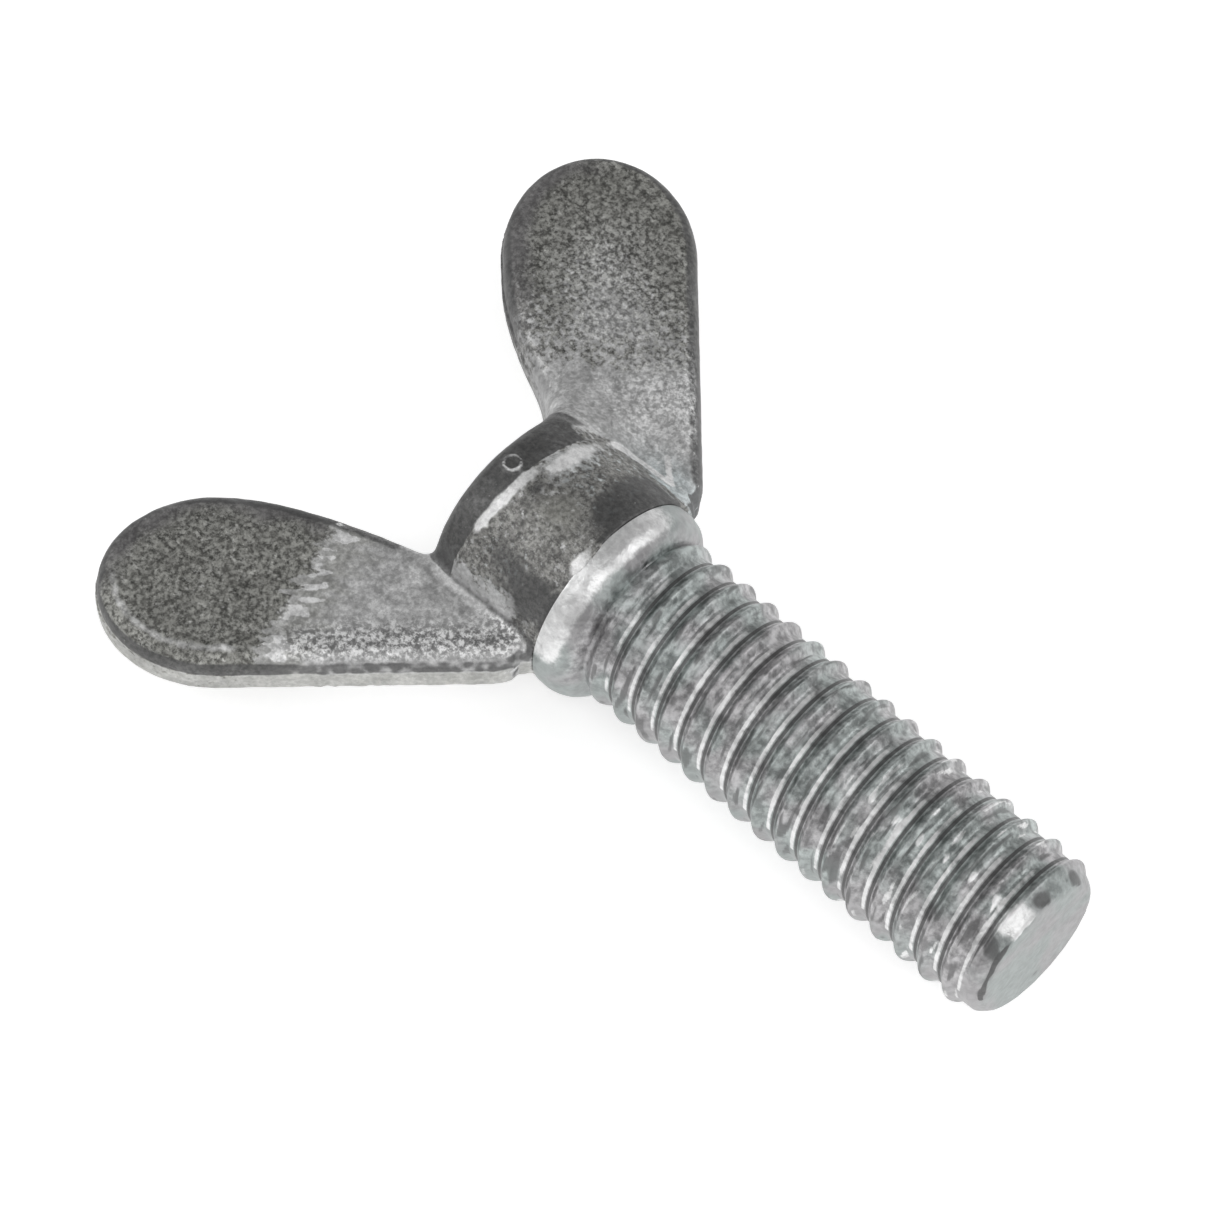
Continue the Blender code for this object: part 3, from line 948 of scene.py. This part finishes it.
def cast_skin():
    """A zinc casting: bare grey by the hub, with a dark olive skin over the paddles."""
    skin = Skin("cast_zinc")
    grit, fine = skin.grain(0.26, 5, 0.72), skin.grain(0.36, 4, 0.6)
    middle, broad = skin.grain(0.8, 4, 0.65), skin.grain(1.8, 2)
    bare, olive = bare_tone(skin, middle), olive_tone(skin, grit, middle)
    tone = skin.mix(skin.ragged("pad", fine, 2.2), bare, olive)
    # The dull grey also stands for painted light on the left wing's lower wall.
    tone = skin.mix(skin.part(skin.mask("dull"), 0.5), tone, grey(0.32, 0.05, 0.05))
    # Dark grey: painted shade, and the band and the stains.
    tone = skin.mix(skin.part(skin.ragged("dark", middle, 0.5), 0.88), tone, grey(0.11))
    # Near-white: painted highlights, and worn and pale marks.
    tone = skin.mix(skin.part(skin.ragged("bright", middle, 0.7), 0.9), tone, grey(0.92))
    tone = skin.mix(skin.part(skin.ragged("speckle", fine, 1.7), 0.8), tone, grey(1.0))
    peppered = skin.mix(skin.span(grit, 0.42, 0.6), grey(0.16), grey(1.0))
    tone = skin.mix(skin.part(skin.mask("pepper"), 0.7), tone, peppered)
    shade = skin.part(skin.span(grit, 0.3, 0.7, 0.82, 1.18), skin.span(broad, 0.3, 0.7, 0.88, 1.12))
    roughness, height = skin.span(middle, 0.2, 0.8, 0.42, 0.62), skin.math("ADD", fine, middle)
    return skin.finish(skin.times(tone, shade), 0.85, roughness, height, 0.05, 0.6)


def plated_steel():
    """Dull zinc plating: mottled on the thread, clean underneath and on the collar."""
    skin = Skin("plated_steel")
    fine, middle, broad = skin.grain(0.4, 3), skin.grain(0.8, 4, 0.65), skin.grain(3.0, 1)
    mottled = skin.mix(skin.span(middle, 0.34, 0.66), grey(0.26), grey(0.54))
    plain = skin.mix(skin.mask("clean"), mottled, grey(0.38))
    tone = skin.times(plain, skin.mix(skin.span(broad, 0.4, 0.6), *PLATING_TINTS))
    # Dark grey: painted shade on the flanks that face the collar, and blots.
    tone = skin.mix(skin.part(skin.ragged("dark", middle, 0.4), 0.88), tone, grey(0.10))
    # Near-white: painted highlights and glints, and worn patches on the crests.
    tone = skin.mix(skin.part(skin.ragged("bright", middle, 0.6), 0.9), tone, grey(0.84))
    tone = skin.times(tone, skin.span(fine, 0.3, 0.7, 0.88, 1.12))
    roughness, height = skin.span(middle, 0.2, 0.8, 0.36, 0.52), skin.math("ADD", fine, middle)
    return skin.finish(tone, 1.0, roughness, height, 0.04, 0.8)


# ---------------------------------------------------------------- stage
CAMERA_AIM = (-1.545, -0.811, 0.0)
CAMERA_AZIMUTH = math.radians(45.89)
CAMERA_ELEVATION = math.radians(59.80)
CAMERA_ROLL = math.radians(-1.69)
CAMERA_DISTANCE = 276.41
SENSOR = 36.0
LENS = 163.27
NEAREST = 0.01  # what the camera sees, in metres
FURTHEST = 10
FLOOR_REACH = 1.5
FLOOR_TONE = (0.85, 0.85, 0.85, 1)
FLOOR_GLOW = 0.55
HORIZON = 0.55
OVERHEAD = 0.36
SKY_RISE = (0.1, 0.7)  # heights between which the room's light goes from horizon to overhead
# Name, azimuth and elevation in degrees, distance and size in metres, power.
SOFTBOXES = (
    ("flash", 40, 62, 0.5, 0.18, 0.32),
    ("left", -50, 40, 0.7, 0.4, 0.8),
    ("right", 140, 45, 0.7, 0.4, 0.8),
    ("tip", 82, 34, 0.35, 0.05, 0.11),
)


def looking_back(azimuth, elevation):
    flat = math.cos(elevation)
    return Vector((math.sin(azimuth) * flat, -math.cos(azimuth) * flat, math.sin(elevation)))


def make_camera():
    camera = bpy.data.objects.new("camera", bpy.data.cameras.new("camera"))
    bpy.context.scene.collection.objects.link(camera)
    back = looking_back(CAMERA_AZIMUTH, CAMERA_ELEVATION)
    camera.location = Vector(to_row(CAMERA_AIM)) + back * CAMERA_DISTANCE * MM
    turn = (-back).to_track_quat("-Z", "Y").to_matrix().to_4x4() @ Matrix.Rotation(CAMERA_ROLL, 4, "Z")
    camera.rotation_euler = turn.to_euler()
    camera.data.sensor_width = SENSOR
    camera.data.lens = LENS
    camera.data.clip_start = NEAREST
    camera.data.clip_end = FURTHEST
    bpy.context.scene.camera = camera


def make_floor():
    """A pale floor that glows a little, so that it comes out nearly white."""
    mesh = bpy.data.meshes.new("floor")
    corners = [(x, y, 0) for x, y in ((-1, -1), (1, -1), (1, 1), (-1, 1))]
    mesh.from_pydata([Vector(corner) * FLOOR_REACH for corner in corners], [], [(0, 1, 2, 3)])
    floor = bpy.data.objects.new("floor", mesh)
    bpy.context.scene.collection.objects.link(floor)
    skin = Skin("pale_floor")
    skin.shader.inputs["Base Color"].default_value = FLOOR_TONE
    skin.shader.inputs["Roughness"].default_value = 0.9
    skin.shader.inputs["Specular IOR Level"].default_value = 0.1
    skin.shader.inputs["Emission Color"].default_value = (1, 1, 1, 1)
    skin.shader.inputs["Emission Strength"].default_value = FLOOR_GLOW
    mesh.materials.append(skin.made)


def add_softbox(name, azimuth, elevation, distance, size, power):
    light = bpy.data.objects.new(name, bpy.data.lights.new(name, "AREA"))
    back = looking_back(math.radians(azimuth), math.radians(elevation))
    light.location = Vector(to_row((0, 0, 0))) + back * distance
    light.rotation_euler = (-back).to_track_quat("-Z", "Y").to_euler()
    light.data.shape = "DISK"
    light.data.size = size
    light.data.energy = power
    bpy.context.scene.collection.objects.link(light)


def make_world():
    """A pale room: bright towards the horizon and dimmer overhead."""
    world = bpy.data.worlds.new("studio")
    world.use_nodes = True
    nodes, links = world.node_tree.nodes, world.node_tree.links
    place = nodes.new("ShaderNodeTexCoord")
    split = nodes.new("ShaderNodeSeparateXYZ")
    ramp = nodes.new("ShaderNodeValToRGB")
    links.new(place.outputs["Generated"], split.inputs[0])
    links.new(split.outputs["Z"], ramp.inputs[0])
    links.new(ramp.outputs[0], nodes["Background"].inputs["Color"])
    for stop, height, tone in zip(ramp.color_ramp.elements, SKY_RISE, (HORIZON, OVERHEAD)):
        stop.position = height
        stop.color = (tone, tone, tone, 1)
    nodes["Background"].inputs["Strength"].default_value = 1.0
    bpy.context.scene.world = world


make_camera()
make_floor()
make_world()
for softbox in SOFTBOXES:
    add_softbox(*softbox)
bpy.context.scene.view_settings.view_transform = "Standard"
make_head(cast_skin())
make_stud(plated_steel())
